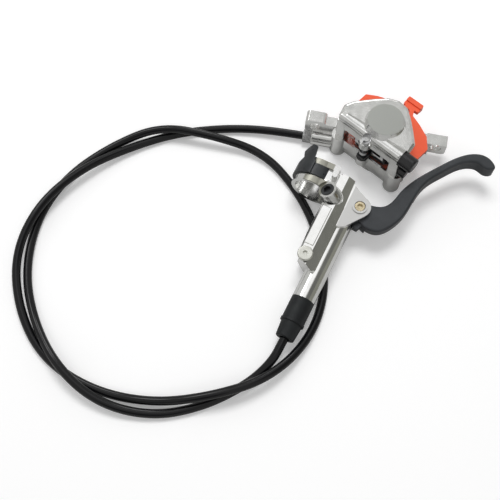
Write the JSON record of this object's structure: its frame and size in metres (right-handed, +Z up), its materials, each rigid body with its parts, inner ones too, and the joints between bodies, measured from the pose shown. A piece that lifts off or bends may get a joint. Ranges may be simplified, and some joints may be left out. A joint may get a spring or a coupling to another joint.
{
  "type": "hydraulic disc brake",
  "caption": "Bicycle hydraulic disc brake: hooked blade and master cylinder on a hinged bar clamp, joined by a coiled hose to a post-mount caliper with pads and a shipping spacer.",
  "frame": {"origin": "Middle of the footprint of lever and caliper, without the hose, on the surface that the brake lies on", "axes": "+X along the line of the caliper's two mounting holes, from the hose port to the bleed nipple's side; +Y from the hose end of the lever towards its clamp, and from the caliper's mounting ears into the frame's posts; +Z up, along the caliper's pistons"},
  "size_m": [0.2662, 0.22, 0.043],
  "materials": {
    "bright_alloy": "polished casting",
    "clear_alloy": "clear anodised, satin",
    "graphite_alloy": "satin black anodised",
    "piston_alloy": "hard anodised",
    "black_moulding": "satin moulded",
    "orange_moulding": "smooth moulded",
    "piston_resin": "ground phenolic",
    "bush_plastic": "smooth moulded",
    "lining": "grainy resin lining",
    "rubber": "smooth moulded",
    "gloss_black": "glossy",
    "brass": "turned",
    "steel": "turned",
    "black_steel": "black oxide",
    "backing_steel": "stamped"
  },
  "bodies": {
    "brake": {"lever_body": "bright_alloy", "reservoir_cover": "bright_alloy", "reservoir_diaphragm": "rubber", "bleed_screw": "clear_alloy", "bleed_o_ring": "rubber", "clamp_band": "bright_alloy", "clamp_hinge_pin": "steel", "clamp_screw": "black_steel", "clamp_insert": "black_moulding", "pivot_bolt": "brass", "piston_stop_ring": "steel", "lever_hose_nut": "black_steel", "lever_olive": "brass", "rubber_boot": "rubber", "caliper_body": "bright_alloy", "upper_piston_seal": "rubber", "lower_piston_seal": "rubber", "pad_spring": "steel", "pad_pin": "steel", "pad_pin_clip": "steel", "bleed_nipple": "steel", "nipple_cap": "rubber", "port_plug": "gloss_black", "pad_spacer": "orange_moulding", "caliper_hose_nut": "black_steel", "caliper_olive": "brass", "hose": "gloss_black"},
    "blade": {"lever_blade": "graphite_alloy", "pivot_bushes": "bush_plastic", "cam_roller": "steel", "roller_pin": "steel"},
    "master": {"master_piston": "piston_alloy", "piston_cups": "rubber", "pushrod": "steel", "return_spring": "steel"},
    "upper_pad": {"upper_piston": "piston_resin", "upper_pad_plate": "backing_steel", "upper_pad_lining": "lining"},
    "lower_pad": {"lower_piston": "piston_resin", "lower_pad_plate": "backing_steel", "lower_pad_lining": "lining"}
  },
  "joints": [
    {"name": "blade_pull", "type": "hinge", "parent": "brake", "child": "blade", "pos_m": [-0.01664, 0.00259, 0.01481], "axis": [-0.0166, -0.0642, 0.9978], "range_deg": [0, 8], "stiffness_Nm_per_rad": 0.3, "springref_deg": -11.46},
    {"name": "master_stroke", "type": "slide", "parent": "brake", "child": "master", "axis": [-0.2498, -0.966, -0.0663], "range_m": [0, 0.00088]},
    {"name": "upper_pad_stroke", "type": "slide", "parent": "brake", "child": "upper_pad", "axis": [0, 0, -1], "range_m": [0, 0.000111]},
    {"name": "lower_pad_stroke", "type": "slide", "parent": "brake", "child": "lower_pad", "axis": [0, 0, 1], "range_m": [0, 0.000111]}
  ],
  "couplings": [
    {"joint": "master_stroke", "follows": "blade_pull", "m_per_rad": 0.0063},
    {"joint": "upper_pad_stroke", "follows": "blade_pull", "m_per_rad": 0.000788},
    {"joint": "lower_pad_stroke", "follows": "blade_pull", "m_per_rad": 0.000788}
  ]
}
